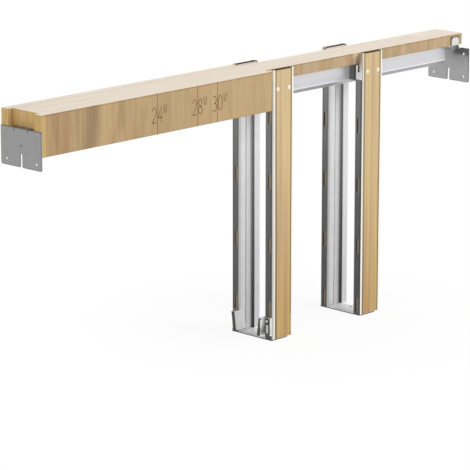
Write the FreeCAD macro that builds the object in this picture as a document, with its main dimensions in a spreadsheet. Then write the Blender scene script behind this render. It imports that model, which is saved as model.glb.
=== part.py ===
import FreeCAD, Part
import os
import Sketcher
from FreeCAD import Placement, Rotation, Vector

# Pocket door frame: a split header of wood with a metal track under it, standing on
# two pairs of split studs, each half a wood core wrapped in a steel channel.
# Millimetres. +X runs along the header, away from the doorway half; +Y to the back; +Z up.
# The origin is on the floor, below the middle of the frame.

# Driving dimensions

DRIVING = {
    "frame_len": 977.0,       # header board and nailers, left end to right end
    "frame_deep": 88.9,       # front face to back face, for a nominal 2 by 4 wall
    "stud_tall": 441.7,       # split stud, above its floor plate
    "stud_rise": 1.2,         # stud tops stand this much above the header's top
    "nailer_len": 491.0,      # doorway half, left end to the first split stud
    "nailer_tall": 63.5,
    "side_deep": 15.9,        # depth of half a split stud
    "nailer_under": 0.1,      # nailers' faces lie this far inside the studs' faces
    "board_thick": 19.05,
    "board_recess": 9.0,      # header board starts this far inside the nailers' left ends
    "packing_len": 52.0,      # packing strip under the left end of the header board
    "packing_thick": 6.45,
    "track_wide": 32.0,
    "track_tall": 32.0,
    "track_wall": 2.0,
    "track_mouth": 10.0,      # slot along the bottom that the hangers hang through
    "track_bevel": 6.0,
    "track_end_gap": 29.0,    # right end of the track to the right end of the header board
    "stud_wide": 50.0,
    "stud_pitch": 214.0,      # first split stud to second
    "sheet": 1.0,             # steel of the stud channels
    "bend": 2.3,              # outer radius of the channel's four long bends
    "lip_wide": 5.8,          # channel's front lips, either side of the wood
    "notch_tall": 21.2,       # channel cut away behind the wood, beside the header board
    "groove_wide": 20.5,      # stiffening groove down the channel's web
    "groove_deep": 6.0,
    "slot_wide": 7.5,         # slots in the channel's sides
    "slot_tall": 25.0,
    "slot_in_front_1": 6.2,   # outer face to the middle of the slots
    "slot_in_back_1": 9.2,
    "slot_in_front_2": 7.9,
    "slot_in_back_2": 7.5,
    "slot_top_1": 74.2,       # middle of the top slot below the stud's top, first pair
    "slot_foot_1": 51.0,      # middle of the lowest slot above the stud's foot
    "slot_top_2": 121.5,      # the same, second pair
    "slot_foot_2": 16.3,
    "core_gap": 0.2,          # wood to the groove and the notch of its channel
    "core_bend_gap": 0.2,     # the core's long edges are rounder than the bends by this
    "core_top_round": 4.0,    # rounding of the core's top corners
    "plate": 1.5,             # steel of the brackets and the floor plates
    "bracket_tall": 58.7,
    "bracket_drop": 25.5,     # header top to the bracket's top edge
    "bracket_slot_wide": 4.6,
    "bracket_slot_tall": 20.3,
    "bracket_round": 2.5,     # corner rounding
    "bracket_hole": 4.2,
    "bracket_hole_side": 33.0,    # hole to the middle of the bracket
    "bracket_hole_low": 9.2,      # lower holes above the bracket's bottom edge
    "bracket_hole_rise": 39.2,    # lower holes to upper holes
    "bracket_dot": 3.2,       # small hole near the middle of the left bracket
    "bracket_dot_up": 33.2,
    "flange_wide": 28.6,      # flange folded in from the left bracket's top edge
    "flange_len": 24.0,
    "relief_wide": 1.6,       # saw cuts at the ends of the fold
    "relief_tall": 5.0,
    "ear_wide": 18.6,
    "ear_gap": 9.4,           # ear to the plate
    "ear_rise": 20.0,         # ear's tip above the bracket's top edge
    "ear_round": 6.0,
    "clip_tall": 26.0,        # spacer sleeve between a stud and the track
    "strap": 1.0,             # bright strap on the side of each half stud's top
    "strap_deep": 12.0,
    "strap_tall": 44.2,
    "strap_slot_in": 5.8,     # outer face to the strap's slot, which is open at the top
    "strap_slot_wide": 3.4,
    "strap_slot_up": 14.3,    # strap's lower edge to the slot's foot
    "strap_slot_round": 4.4,
    "floor_plate_len": 36.0,
    "press_start": 10.0,      # raised middle of the floor plate, from its near edge
    "press_margin": 1.0,      # flat rim left beside and behind it
    "press_tall": 1.5,
    "floor_hole_in": 26.0,
    "guide_len": 23.0,
    "guide_out": 12.5,        # guide stands out past the stud's side
    "guide_tall": 30.0,
    "guide_up": 6.5,
    "guide_lean": 4.0,        # foot of the guide stands this much closer to the door
    "guide_end_wide": 7.0,
    "guide_flange_near": 2.2,     # flange on the stud's side, from the web face
    "guide_flange_far": 2.0,      # and from the stud's outer face
}

PAIRS = (1, 2)
SLOTS_PER_SIDE = 4
PRESS_SLOPE = 50      # degrees off the vertical of the floor plate's pressed edges
TOUCH = 0.1           # a point this near a face counts as on it


class Size:
    """A length held both as a number and as an expression on the spreadsheet."""

    def __init__(self, number, text):
        self.number = number
        self.text = text

    def join(self, other, sign, number):
        text = other.text if isinstance(other, Size) else repr(float(other))
        return Size(number, "(%s %s %s)" % (self.text, sign, text))

    def __add__(self, other):
        return self.join(other, "+", self.number + value(other))

    def __sub__(self, other):
        return self.join(other, "-", self.number - value(other))

    def __mul__(self, other):
        return self.join(other, "*", self.number * value(other))

    def __truediv__(self, other):
        return self.join(other, "/", self.number / value(other))

    def __neg__(self):
        return self * -1


def value(size):
    """The plain number behind a Size or a number."""
    return size.number if isinstance(size, Size) else float(size)


doc = FreeCAD.newDocument("pocket_door_frame")
sheet = doc.addObject("Spreadsheet::Sheet", "sizes")
dim = {}
for row, (name, number) in enumerate(DRIVING.items(), start=1):
    sheet.set("A%d" % row, name)
    sheet.set("B%d" % row, str(number))
    sheet.setAlias("B%d" % row, name)
    dim[name] = Size(number, "sizes." + name)
doc.recompute()


# Derived places, all from the driving dimensions

left = -dim["frame_len"] / 2
right = dim["frame_len"] / 2
front = -dim["frame_deep"] / 2
back = dim["frame_deep"] / 2
stud_top = dim["stud_tall"] + dim["plate"]
header_top = stud_top - dim["stud_rise"]
board_wide = dim["frame_deep"] - dim["side_deep"] * 2
board_low = header_top - dim["board_thick"]
track_low = board_low - dim["track_tall"]
stud_left = {
    1: left + dim["nailer_len"],
    2: left + dim["nailer_len"] + dim["stud_pitch"],
}
core_deep = dim["side_deep"] - dim["groove_deep"] - dim["sheet"] * 2
core_back = core_deep + dim["sheet"]
slot_step = {}
for pair in PAIRS:
    slots_tall = dim["stud_tall"] - dim["slot_top_%d" % pair] - dim["slot_foot_%d" % pair]
    slot_step[pair] = slots_tall / (SLOTS_PER_SIDE - 1)


# Helpers

def bind(thing, path, size):
    """Set one property of an object from the spreadsheet."""
    if isinstance(size, Size):
        thing.setExpression(path, size.text)
    else:
        thing.setExpression(path, repr(float(size)))


def put(thing, x, y, z, turn=0):
    """Place a sub-part at x, y, z, turned about Z by an angle in degrees."""
    thing.Placement = Placement(Vector(value(x), value(y), value(z)), Rotation(Vector(0, 0, 1), turn))
    bind(thing, "Placement.Base.x", x)
    bind(thing, "Placement.Base.y", y)
    bind(thing, "Placement.Base.z", z)


def block(name, size, place):
    """A rectangular board."""
    box = doc.addObject("Part::Box", name)
    box.Label = name
    for path, length in zip(("Length", "Width", "Height"), size):
        bind(box, path, length)
    put(box, *place)
    return box


def new_body(name):
    body = doc.addObject("PartDesign::Body", name)
    body.Label = name
    return body


def new_sketch(body, role, offset=None):
    """A sketch on one of the body's own origin planes, moved along its normal by offset."""
    sketch = body.newObject("Sketcher::SketchObject", body.Name + "_sketch")
    plane = [item for item in body.Origin.OriginFeatures if item.Role == role][0]
    sketch.AttachmentSupport = (plane, [""])
    sketch.MapMode = "FlatFace"
    if offset is not None:
        sketch.AttachmentOffset = Placement(Vector(0, 0, value(offset)), Rotation())
        bind(sketch, "AttachmentOffset.Base.z", offset)
    return sketch


def pin(sketch, kind, geometry, point, size):
    """Hold one point of the sketch at a distance from the sketch's origin."""
    index = sketch.addConstraint(Sketcher.Constraint(kind, -1, 1, geometry, point, value(size)))
    if isinstance(size, Size):
        bind(sketch, "Constraints[%d]" % index, size)


def outline(sketch, corners):
    """A closed outline of straight lines through the corners."""
    first = sketch.GeometryCount
    count = len(corners)
    points = [Vector(value(x), value(y), 0) for x, y in corners]
    for i in range(count):
        sketch.addGeometry(Part.LineSegment(points[i], points[(i + 1) % count]), False)
    for i in range(count):
        following = first + (i + 1) % count
        sketch.addConstraint(Sketcher.Constraint("Coincident", first + i, 2, following, 1))
    for i, (x, y) in enumerate(corners):
        pin(sketch, "DistanceX", first + i, 1, x)
        pin(sketch, "DistanceY", first + i, 1, y)


def rectangle(sketch, x0, y0, x1, y1):
    outline(sketch, [(x0, y0), (x1, y0), (x1, y1), (x0, y1)])


def circle(sketch, x, y, diameter):
    radius = diameter / 2
    centre = Vector(value(x), value(y), 0)
    index = sketch.addGeometry(Part.Circle(centre, Vector(0, 0, 1), value(radius)), False)
    pin(sketch, "DistanceX", index, 3, x)
    pin(sketch, "DistanceY", index, 3, y)
    hold = sketch.addConstraint(Sketcher.Constraint("Radius", index, value(radius)))
    bind(sketch, "Constraints[%d]" % hold, radius)


def pad(body, sketch, length, reversed_way=False, both_ways=False):
    feature = body.newObject("PartDesign::Pad", body.Name + "_pad")
    feature.Profile = sketch
    bind(feature, "Length", length)
    feature.Reversed = reversed_way
    feature.Midplane = both_ways
    sketch.Visibility = False
    return feature


def pocket(body, sketch, length):
    """Cut the sketch out, as far either way as length reaches."""
    feature = body.newObject("PartDesign::Pocket", body.Name + "_pocket")
    feature.Profile = sketch
    bind(feature, "Length", length * 2)
    feature.Midplane = True
    sketch.Visibility = False
    return feature


def round_corners(body, radius, along, is_corner):
    """Round the straight edges that run along a direction and pass is_corner(middle)."""
    doc.recompute()
    base = body.Tip
    names = []
    for number, edge in enumerate(base.Shape.Edges, start=1):
        way = edge.tangentAt(edge.FirstParameter)
        if way.cross(along).Length < TOUCH and is_corner(edge.CenterOfMass):
            names.append("Edge%d" % number)
    fillet = body.newObject("PartDesign::Fillet", body.Name + "_round")
    fillet.Base = (base, names)
    bind(fillet, "Radius", radius)
    return fillet


# Header: board, packing strip and the two nailers of the doorway half

def make_header():
    block("header_board",
          (dim["frame_len"] - dim["board_recess"], board_wide, dim["board_thick"]),
          (left + dim["board_recess"], -board_wide / 2, board_low))
    block("header_packing",
          (dim["packing_len"], board_wide, dim["packing_thick"]),
          (left + dim["board_recess"], -board_wide / 2, board_low - dim["packing_thick"]))
    deep = dim["side_deep"] - dim["nailer_under"]
    for name, y in (("nailer_front", front + dim["nailer_under"]), ("nailer_back", board_wide / 2)):
        block(name,
              (dim["nailer_len"] - dim["strap"], deep, dim["nailer_tall"]),
              (left, y, header_top - dim["nailer_tall"]))


# Track: a box section open along the bottom, with bevelled lower corners

def make_track():
    body = new_body("track")
    sketch = new_sketch(body, "YZ_Plane")
    half = dim["track_wide"] / 2
    wall = dim["track_wall"]
    mouth = dim["track_mouth"] / 2
    bevel = dim["track_bevel"]
    tall = dim["track_tall"]
    outline(sketch, [
        (mouth, 0), (half - bevel / 2, 0), (half, bevel), (half, tall),
        (-half, tall), (-half, bevel), (bevel / 2 - half, 0), (-mouth, 0),
        (-mouth, wall), (bevel / 2 - half + wall / 2, wall), (wall - half, bevel + wall / 2),
        (wall - half, tall - wall), (half - wall, tall - wall), (half - wall, bevel + wall / 2),
        (half - bevel / 2 - wall / 2, wall), (mouth, wall),
    ])
    start = left + dim["board_recess"] + dim["packing_len"]
    pad(body, sketch, right - start - dim["track_end_gap"])
    put(body, start, 0, track_low)


# End brackets: a nailing plate with a slot in its lower edge

def bracket_plate(body, top=(), dot=False):
    """The plate; top lists the points of a cut top edge, and dot adds the small hole."""
    sketch = new_sketch(body, "YZ_Plane")
    half = dim["frame_deep"] / 2
    tall = dim["bracket_tall"]
    slot = dim["bracket_slot_wide"] / 2
    outline(sketch, [
        (-half, 0), (-slot, 0), (-slot, dim["bracket_slot_tall"]),
        (slot, dim["bracket_slot_tall"]), (slot, 0), (half, 0), (half, tall),
        *top, (-half, tall),
    ])
    low = dim["bracket_hole_low"]
    for side in (-1, 1):
        for height in (low, low + dim["bracket_hole_rise"]):
            circle(sketch, dim["bracket_hole_side"] * side, height, dim["bracket_hole"])
    if dot:
        circle(sketch, 0, dim["bracket_dot_up"], dim["bracket_dot"])
    pad(body, sketch, dim["plate"])
    round_corners(body, dim["bracket_round"], Vector(1, 0, 0), lambda point: point.z < TOUCH)


def bracket_flange(body, length, width):
    """The flange that is folded in from the plate's top edge."""
    tall = dim["bracket_tall"]
    sketch = new_sketch(body, "XZ_Plane")
    rectangle(sketch, 0, tall - dim["plate"], length, tall)
    pad(body, sketch, width, both_ways=True)


def make_end_brackets():
    bracket_low = header_top - dim["bracket_drop"] - dim["bracket_tall"]
    tall = dim["bracket_tall"]
    plate = dim["plate"]

    # Left: saw cuts in the top edge free the flange, and the packing strip lies on it.
    body = new_body("end_bracket_left")
    near = dim["flange_wide"] / 2
    far = near + dim["relief_wide"]
    deep = tall - dim["relief_tall"]
    cuts = [(far, tall), (far, deep), (near, deep), (near, tall)]
    cuts += [(-y, z) for y, z in reversed(cuts)]
    bracket_plate(body, top=cuts, dot=True)
    bracket_flange(body, plate + dim["flange_len"], dim["flange_wide"])
    put(body, left - plate, 0, bracket_low)

    # Right: the flange is wider than the header board, and an ear folds up on each side.
    body = new_body("end_bracket_right")
    bracket_plate(body)
    start = plate + dim["ear_gap"]
    end = start + dim["ear_wide"]
    bracket_flange(body, end, board_wide + plate * 2)
    tip = tall + dim["ear_rise"]
    for side in (-1, 1):
        sketch = new_sketch(body, "XZ_Plane", offset=board_wide / 2 * -side)
        rectangle(sketch, start, tall - plate, end, tip)
        pad(body, sketch, plate, reversed_way=side > 0)
    round_corners(body, dim["ear_round"], Vector(0, 1, 0),
                  lambda point: abs(point.z - value(tip)) < TOUCH)
    put(body, right + plate, 0, bracket_low, turn=180)


# Split studs: each half is a steel channel round a thin wood core

def channel_outline(sketch):
    """The channel's section: front lips, sides, and a web with a stiffening groove."""
    half = dim["stud_wide"] / 2
    deep = dim["side_deep"]
    sheet_t = dim["sheet"]
    lip = half - dim["lip_wide"]
    groove = dim["groove_wide"] / 2
    floor = deep - dim["groove_deep"]
    side = [
        (lip, 0), (half, 0), (half, deep), (groove, deep), (groove, floor),
    ]
    inner = [
        (groove + sheet_t, floor - sheet_t), (groove + sheet_t, deep - sheet_t),
        (half - sheet_t, deep - sheet_t), (half - sheet_t, sheet_t), (lip, sheet_t),
    ]
    mirror = [(-x, y) for x, y in reversed(side)]
    inner_mirror = [(-x, y) for x, y in reversed(inner)]
    outline(sketch, side + mirror + inner_mirror + inner)


def make_stud_channel(where, pair):
    """The steel of one half, cut away behind the wood beside the header board."""
    body = new_body("stud_channel_%s_%d" % (where, pair))
    sketch = new_sketch(body, "XY_Plane")
    channel_outline(sketch)
    pad(body, sketch, dim["stud_tall"])
    outer = value(dim["stud_wide"] / 2)
    inner = value(dim["stud_wide"] / 2 - dim["sheet"])
    up = Vector(0, 0, 1)
    round_corners(body, dim["bend"], up, lambda point: abs(abs(point.x) - outer) < TOUCH)
    round_corners(body, dim["bend"] - dim["sheet"], up, lambda point: abs(abs(point.x) - inner) < TOUCH)

    middle = dim["slot_in_%s_%d" % (where, pair)]
    for side in (-1, 1):
        sketch = new_sketch(body, "YZ_Plane", offset=dim["stud_wide"] / 2 * side)
        for step in range(SLOTS_PER_SIDE):
            height = dim["slot_foot_%d" % pair] + slot_step[pair] * step
            rectangle(sketch,
                      middle - dim["slot_wide"] / 2, height - dim["slot_tall"] / 2,
                      middle + dim["slot_wide"] / 2, height + dim["slot_tall"] / 2)
        pocket(body, sketch, dim["sheet"] * 2)

    sketch = new_sketch(body, "YZ_Plane")
    rectangle(sketch,
              core_back, dim["stud_tall"] - dim["notch_tall"],
              dim["side_deep"] + dim["sheet"], dim["stud_tall"] + dim["sheet"])
    pocket(body, sketch, dim["stud_wide"])

    y, turn = (front, 0) if where == "front" else (back, 180)
    put(body, stud_left[pair] + dim["stud_wide"] / 2, y, dim["plate"], turn)


def make_stud_core(where, pair):
    """The wood that fills the channel, grooved behind and thinned beside the header board."""
    body = new_body("stud_core_%s_%d" % (where, pair))
    half = dim["stud_wide"] / 2 - dim["sheet"]
    tall = dim["stud_tall"]
    full_deep = dim["side_deep"] - dim["sheet"] * 2
    sketch = new_sketch(body, "XZ_Plane")
    rectangle(sketch, -half, 0, half, tall)
    pad(body, sketch, core_deep, reversed_way=True)
    round_corners(body, dim["core_top_round"], Vector(0, 1, 0),
                  lambda point: abs(point.z - value(tall)) < TOUCH)

    sketch = new_sketch(body, "XY_Plane")
    groove = dim["groove_wide"] / 2 + dim["sheet"] + dim["core_gap"]
    for near, far in ((-half, -groove), (groove, half)):
        rectangle(sketch, near, core_deep / 2, far, full_deep)
    pad(body, sketch, tall - dim["notch_tall"] - dim["core_gap"])

    easing = dim["bend"] - dim["sheet"] + dim["core_bend_gap"]
    round_corners(body, easing, Vector(0, 0, 1),
                  lambda point: abs(abs(point.x) - value(half)) < TOUCH)
    y, turn = (front + dim["sheet"], 0) if where == "front" else (back - dim["sheet"], 180)
    put(body, stud_left[pair] + dim["stud_wide"] / 2, y, dim["plate"], turn)


def make_stud_clip(where, pair):
    """A sleeve of folded sheet between the half stud and the side of the track."""
    body = new_body("stud_clip_%s_%d" % (where, pair))
    sketch = new_sketch(body, "XY_Plane")
    gap = (board_wide - dim["track_wide"]) / 2
    half = dim["stud_wide"] / 2
    wall = dim["plate"]
    rectangle(sketch, -half, 0, half, gap)
    rectangle(sketch, wall - half, wall, half - wall, gap - wall)
    pad(body, sketch, dim["clip_tall"])
    y = -board_wide / 2 if where == "front" else dim["track_wide"] / 2
    put(body, stud_left[pair] + half, y, board_low - dim["clip_tall"])


def make_stud_strap(where, pair):
    """A strap on the side of the half stud's top, slotted from the top down to a round hole."""
    way = 1 if where == "front" else -1
    body = new_body("stud_strap_%s_%d" % (where, pair))
    sketch = new_sketch(body, "YZ_Plane")
    tall = dim["strap_tall"]
    shoulder = tall - dim["notch_tall"]
    edge = dim["sheet"]
    deep = edge + dim["strap_deep"]
    near = dim["strap_slot_in"]
    far = near + dim["strap_slot_wide"]
    foot = dim["strap_slot_up"]
    outline(sketch, [
        (edge * way, 0), (deep * way, 0), (deep * way, shoulder), (far * way, shoulder),
        (far * way, foot), (near * way, foot), (near * way, tall), (edge * way, tall),
    ])
    pad(body, sketch, dim["strap"])
    sketch = new_sketch(body, "YZ_Plane")
    circle(sketch, (near + far) / 2 * way, foot, dim["strap_slot_round"])
    pocket(body, sketch, dim["strap"])
    put(body, stud_left[pair] - dim["strap"], front if where == "front" else back, stud_top - tall)


# Feet: floor plates and the door guides of the first pair

def make_floor_plate(pair):
    """The plate under a pair of half studs, pressed up in the middle."""
    body = new_body("floor_plate_%d" % pair)
    half = dim["frame_deep"] / 2
    long = dim["floor_plate_len"]
    sketch = new_sketch(body, "XY_Plane")
    rectangle(sketch, 0, -half, long, half)
    pad(body, sketch, dim["plate"])
    sketch = new_sketch(body, "XY_Plane", offset=dim["plate"])
    side = board_wide / 2 - dim["press_margin"]
    rectangle(sketch, dim["press_start"], -side, long - dim["press_margin"], side)
    press = pad(body, sketch, dim["press_tall"])
    press.TaperAngle = -PRESS_SLOPE
    sketch = new_sketch(body, "XY_Plane")
    circle(sketch, dim["floor_hole_in"], 0, dim["bracket_hole"])
    pocket(body, sketch, (dim["plate"] + dim["press_tall"]) * 2)
    put(body, stud_left[pair], 0, 0)


def make_door_guide(where):
    """The bent clip at the foot of the first pair: a leaning fin beside the door, with an
    end leg, a foot and a flange on the stud's side."""
    way = 1 if where == "front" else -1
    body = new_body("door_guide_" + where)
    thick = dim["plate"]
    tall = dim["guide_tall"]
    lean = dim["guide_lean"]
    out = dim["guide_out"]
    end = dim["guide_end_wide"]

    sketch = new_sketch(body, "YZ_Plane", offset=-out)
    outline(sketch, [
        (0, tall), (thick * way, tall), ((lean + thick) * way, 0), (lean * way, 0)])
    pad(body, sketch, dim["guide_len"])

    sketch = new_sketch(body, "YZ_Plane", offset=-out)
    outline(sketch, [
        ((thick - end) * way, tall), (thick * way, tall),
        ((lean + thick) * way, 0), ((lean + thick - end) * way, 0)])
    pad(body, sketch, thick)

    sketch = new_sketch(body, "XY_Plane")
    rectangle(sketch, -out, -end * way / 2, 0, lean * way)
    pad(body, sketch, thick)

    sketch = new_sketch(body, "YZ_Plane", offset=-thick)
    far = dim["side_deep"] - dim["guide_flange_far"]
    rectangle(sketch, -far * way, 0, -dim["guide_flange_near"] * way, tall)
    pad(body, sketch, thick)
    put(body, stud_left[1], -board_wide / 2 * way, dim["plate"] + dim["guide_up"])


make_header()
make_track()
make_end_brackets()
for pair in PAIRS:
    for where in ("front", "back"):
        make_stud_channel(where, pair)
        make_stud_core(where, pair)
        make_stud_clip(where, pair)
        make_stud_strap(where, pair)
    make_floor_plate(pair)
make_door_guide("front")
make_door_guide("back")


# Check every object, then write one file for each sub-part

doc.recompute()
failed = [thing.Name for thing in doc.Objects if "Invalid" in thing.State or "Error" in thing.State]
if failed:
    raise RuntimeError("not recomputed: " + ", ".join(failed))

nodes = [thing for thing in doc.Objects if thing.TypeId in ("PartDesign::Body", "Part::Box")]
for node in nodes:
    if node.Shape.isNull() or not node.Shape.isValid() or len(node.Shape.Solids) != 1:
        raise RuntimeError("bad shape: " + node.Label)

os.makedirs("parts", exist_ok=True)
for node in nodes:
    node.Shape.exportStep("parts/%s.step" % node.Label)
    box = node.Shape.optimalBoundingBox(False)
    print("%-24s %8.1f cm3  x %.1f..%.1f  y %.1f..%.1f  z %.1f..%.1f" % (
        node.Label, node.Shape.Volume / 1000, box.XMin, box.XMax, box.YMin, box.YMax, box.ZMin, box.ZMax))
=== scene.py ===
"""The looks of the pocket door frame: wood boards, sheet-steel studs and brackets, and an aluminium track."""
import math

import bmesh
import bpy
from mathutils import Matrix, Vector


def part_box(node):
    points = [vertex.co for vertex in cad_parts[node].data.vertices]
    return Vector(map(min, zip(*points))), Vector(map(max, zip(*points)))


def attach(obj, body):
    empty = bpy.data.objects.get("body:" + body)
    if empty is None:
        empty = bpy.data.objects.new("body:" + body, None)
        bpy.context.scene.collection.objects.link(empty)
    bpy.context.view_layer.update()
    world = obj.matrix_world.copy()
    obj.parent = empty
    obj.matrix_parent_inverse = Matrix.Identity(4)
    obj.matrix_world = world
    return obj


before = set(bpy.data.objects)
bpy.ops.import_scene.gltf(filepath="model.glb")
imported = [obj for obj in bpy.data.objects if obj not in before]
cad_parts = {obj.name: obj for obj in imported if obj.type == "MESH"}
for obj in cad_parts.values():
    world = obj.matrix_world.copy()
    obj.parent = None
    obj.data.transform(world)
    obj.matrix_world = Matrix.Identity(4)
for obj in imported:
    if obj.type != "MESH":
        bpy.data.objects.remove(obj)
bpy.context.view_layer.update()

MM = 0.001
SIDES = {"front": -1, "back": 1}
PAIRS = (1, 2)
LEFTWARD = (-1, 0, 0)

# The camera stands as a perspective fitted to the photograph puts it, in degrees and metres. The lens and
# the sensor are in millimetres.
CAMERA_AZIMUTH = -45.959
CAMERA_ELEVATION = 13.766
CAMERA_DISTANCE = 4585.4 * MM
CAMERA_TARGET = Vector((-36.745, 0.0, 175.73)) * MM
CAMERA_LENS = 219.44
CAMERA_SENSOR = 36.0
CAMERA_SIGHT = 30.0

# Light: the world fills, and two soft lamps shape it. A level of 1 shows a colour as it is written.
AMBIENT_LEVEL = 0.6
KEY_LEVEL = 0.36
KEY_FROM = (34.0, 38.0)
TOP_LEVEL = 0.14
TOP_FROM = (10.0, 80.0)
LAMP_DISTANCE = 5.0
LAMP_SIZE = 2.6
FLOOR_SIZE = 14.0
FLOOR_GREY = 244
FLOOR_SHADOW_SHARE = 0.1
FLOOR_SHADOW_NEAR = 0.16
FLOOR_SHADOW_FAR = 0.4
FLOOR_SHADOW_CENTRE = (0.13, 0.0, 0.0)

# The boards' figure. The nailers have a dark knot streak and a patch of reddish streaks, and grow calm
# to the right of them. The header's top has a few knots, each with its place and half its length.
KNOT_PLACE = -386 * MM
REDDISH_PLACE = -452 * MM
CALM_START = -330 * MM
CALM_OVER = 60 * MM
TOP_KNOTS = ((336.7 * MM, 4.5 * MM, 6 * MM), (384.0 * MM, 5.5 * MM, 14 * MM), (196.0 * MM, 3.0 * MM, 5 * MM))

# The studs' painted light and shade grow darker towards the foot over these heights.
STUD_FADE = (40 * MM, 400 * MM)
WEB_FADE = (60 * MM, 300 * MM)

# Where a stud's clear wood begins and ends, from the core's left side, at the two heights of LEAN_SPAN,
# and the rounding of its upper corners. Outside the clear wood and along its outline the wood carries
# painted shade from the lips.
LEAN_SPAN = (160 * MM, 430 * MM)
WOOD_LEFT = {1: (11.8 * MM, 10.1 * MM), 2: (8.0 * MM, 7.4 * MM)}
WOOD_RIGHT = {1: (44.2 * MM, 43.1 * MM), 2: (42.2 * MM, 43.4 * MM)}
WOOD_CORNER = 5.0 * MM

# The channel's lips, from its left side at the same two heights: where the left lip turns from painted shade
# to white, where its white ends, and where the painted shadow on the right lip ends.
LIP_SHADE_END = {1: (4.4 * MM, 3.2 * MM), 2: (1.0 * MM, 1.6 * MM)}
LIP_WHITE_END = {1: (7.4 * MM, 6.1 * MM), 2: (4.2 * MM, 3.1 * MM)}
LIP_DARK_END = {1: (45.1 * MM, 45.3 * MM), 2: (44.2 * MM, 45.5 * MM)}
LIP_SOFT = 0.15 * MM

# The channel's groove, from its left side, and the line where its floor comes into view.
GROOVE_START = 14.75 * MM
GROOVE_END = 35.25 * MM
FLOOR_SEEN = 21.5 * MM

# The middle of the channels' side slots, from the outer face, how far past it the wood in the slot is
# painted light before painted shade, and the middle of the strap's slot.
SLOT_IN = {("front", 1): 6.2 * MM, ("front", 2): 7.9 * MM, ("back", 1): 9.2 * MM, ("back", 2): 7.5 * MM}
SLOT_LIGHT = {1: 1.4 * MM, 2: 0.6 * MM}
STRAP_SLOT_DEPTH = 7.5 * MM

# Heights and places on the header and the right bracket that their finishes follow. The header's painted
# shade in the gaps behind the studs reaches up to the first height, and the ears are painted light above
# EAR_WHITE and with shade below it.
GAP_SHADE_TOP = 434 * MM
EAR_SPAN = (460.5 * MM, 479.1 * MM)
EAR_TIP = 436.5 * MM
EAR_WHITE = 422.5 * MM
PLATE_TOP = 416.5 * MM
PLATE_LAYER = 1.6 * MM

# The marks on the front board: each width in inches, and how far its line is from the middle of the frame.
MARKS = {"24": -252.2 * MM, "28": -165.4 * MM, "30": -121.4 * MM}
DIGIT_WIDTH = 9.0 * MM
DIGIT_HEIGHT = 23.5 * MM
DIGIT_TOP = 21.5 * MM
DIGIT_STARTS = (-10.8 * MM, 1.4 * MM)
INCH_STROKES = ((14.0 * MM, 14.9 * MM), (19.2 * MM, 18.3 * MM))
INCH_TOP = 19.0 * MM
INCH_HEIGHT = 13.5 * MM
STROKE = 1.5 * MM
LINE_WIDTH = 1.2 * MM
INK_THICK = 0.05 * MM

# The rounding of the wood's edges, and the relief of all finishes.
BOARD_ROUNDING = 0.7 * MM
CORE_ROUNDING = 0.4 * MM
SHARP_ANGLE = 40
RELIEF_STRENGTH = 0.6

# The domed heads: their mesh, and the arms of the cross recess as shares of the head's radius.
HEAD_RINGS = 12
HEAD_STEPS = 48
RECESS_ARM = 0.16
RECESS_REACH = 0.62

# The nail heads near the studs' tops, at these shares of the wood's width.
NAIL_DROP = 32.2 * MM
NAIL_RADIUS = 3.6 * MM
NAIL_PROUD = 0.9 * MM
NAIL_SHARES = (0.27, 0.81)

# The nails of the left bracket.
END_NAIL_SIDE = 33.0 * MM
END_NAIL_DROP = 10.3 * MM
END_NAIL_RADIUS = 2.1 * MM
END_NAIL_SUNK = 0.3 * MM
END_NAIL_PROUD = 0.28 * MM
END_NAIL_GREY = 158

# The door guides' screws, placed from the studs' faces beside the door and from the guide's foot.
FRAME_SIDE = 28.55 * MM
GUIDE_FLANGE = 1.5 * MM
GUIDE_SCREW_IN = 6.0 * MM
GUIDE_SCREW_UP = 23.5 * MM
GUIDE_SCREW_RADIUS = 2.5 * MM
GUIDE_SCREW_PROUD = 1.2 * MM
GUIDE_SCREW_RECESS = 0.8 * MM
GUIDE_SCREW_GREY = 250


def colour(red, green, blue):
    """A colour as it shows on a screen, 0 to 255, turned into linear light."""
    linear = []
    for channel in (red, green, blue):
        share = channel / 255
        if share <= 0.04045:
            linear.append(share / 12.92)
        else:
            linear.append(((share + 0.055) / 1.055) ** 2.4)
    return (*linear, 1.0)


def grey(level):
    """A grey as it shows on a screen, 0 to 255, in linear light."""
    return colour(level, level, level)


def toward(azimuth, elevation):
    """The unit vector from the object to a viewer or a lamp, where azimuth 0 is the front."""
    a = math.radians(azimuth)
    e = math.radians(elevation)
    return Vector((math.sin(a) * math.cos(e), -math.cos(a) * math.cos(e), math.sin(e)))


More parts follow.
